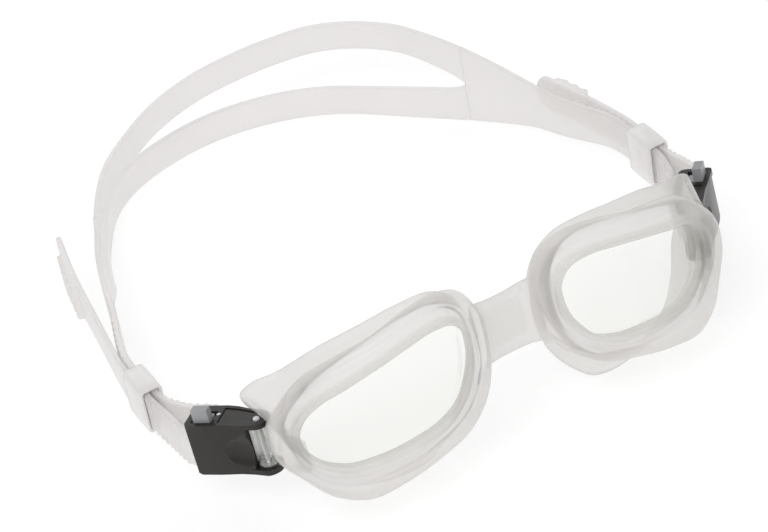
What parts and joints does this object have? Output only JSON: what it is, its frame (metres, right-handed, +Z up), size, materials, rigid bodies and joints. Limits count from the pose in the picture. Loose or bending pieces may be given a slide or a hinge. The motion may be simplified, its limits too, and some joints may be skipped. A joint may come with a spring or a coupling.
{
  "type": "swim goggles",
  "caption": "Swim goggles: soft silicone frame with bent clear lenses, hinged quick-adjust side buckles and a silicone head strap split into two bands behind the head.",
  "frame": {"origin": "on the table plane under the middle of the goggles' bounding box", "axes": "+X across the face towards the wearer's left, +Y from the lenses to the back of the head, +Z up"},
  "size_m": [0.1822, 0.1998, 0.0638],
  "materials": {
    "frame_silicone": "satin",
    "strap_silicone": "satin",
    "keeper_silicone": "satin",
    "lens": "gloss",
    "insert_plastic": "satin",
    "clear_pin": "gloss",
    "dark_plastic": "gloss",
    "grey_plastic": "satin",
    "steel": "brushed"
  },
  "bodies": {
    "goggles": {"silicone_frame": "frame_silicone", "bridge_insert": "insert_plastic", "head_strap": "strap_silicone", "lens_left": "lens", "hinge_pin_left": "clear_pin", "strap_tail_left": "strap_silicone", "lens_right": "lens", "hinge_pin_right": "clear_pin", "strap_tail_right": "strap_silicone"},
    "buckle_left": {"buckle_housing_left": "dark_plastic", "strap_bar_left": "dark_plastic", "lever_pin_left": "steel", "strap_loop_left": "strap_silicone"},
    "lever_left": {"release_lever_left": "grey_plastic", "lever_spring_left": "steel"},
    "keeper_left": {"keeper_left": "keeper_silicone"},
    "buckle_right": {"buckle_housing_right": "dark_plastic", "strap_bar_right": "dark_plastic", "lever_pin_right": "steel", "strap_loop_right": "strap_silicone"},
    "lever_right": {"release_lever_right": "grey_plastic", "lever_spring_right": "steel"},
    "keeper_right": {"keeper_right": "keeper_silicone"}
  },
  "joints": [
    {"name": "buckle_swing_left", "type": "hinge", "parent": "goggles", "child": "buckle_left", "pos_m": [-0.0725, -0.069, 0.0264], "axis": [0, 0.184, 0.9829], "range_deg": [-20, 15]},
    {"name": "lever_press_left", "type": "hinge", "parent": "buckle_left", "child": "lever_left", "pos_m": [-0.07915, -0.0584, 0.02442], "axis": [0, 0.184, 0.9829], "range_deg": [-8, 0], "stiffness_Nm_per_rad": 0.02, "springref_deg": 5.73},
    {"name": "keeper_slide_left", "type": "slide", "parent": "goggles", "child": "keeper_left", "axis": [0, 1, 0], "range_m": [-0.002, 0.005]},
    {"name": "buckle_swing_right", "type": "hinge", "parent": "goggles", "child": "buckle_right", "pos_m": [0.0725, -0.069, 0.0264], "axis": [0, 0.184, 0.9829], "range_deg": [-15, 20]},
    {"name": "lever_press_right", "type": "hinge", "parent": "buckle_right", "child": "lever_right", "pos_m": [0.07915, -0.0584, 0.02442], "axis": [0, 0.184, 0.9829], "range_deg": [0, 8], "stiffness_Nm_per_rad": 0.02, "springref_deg": -5.73},
    {"name": "keeper_slide_right", "type": "slide", "parent": "goggles", "child": "keeper_right", "axis": [0, 1, 0], "range_m": [-0.002, 0.005]}
  ]
}
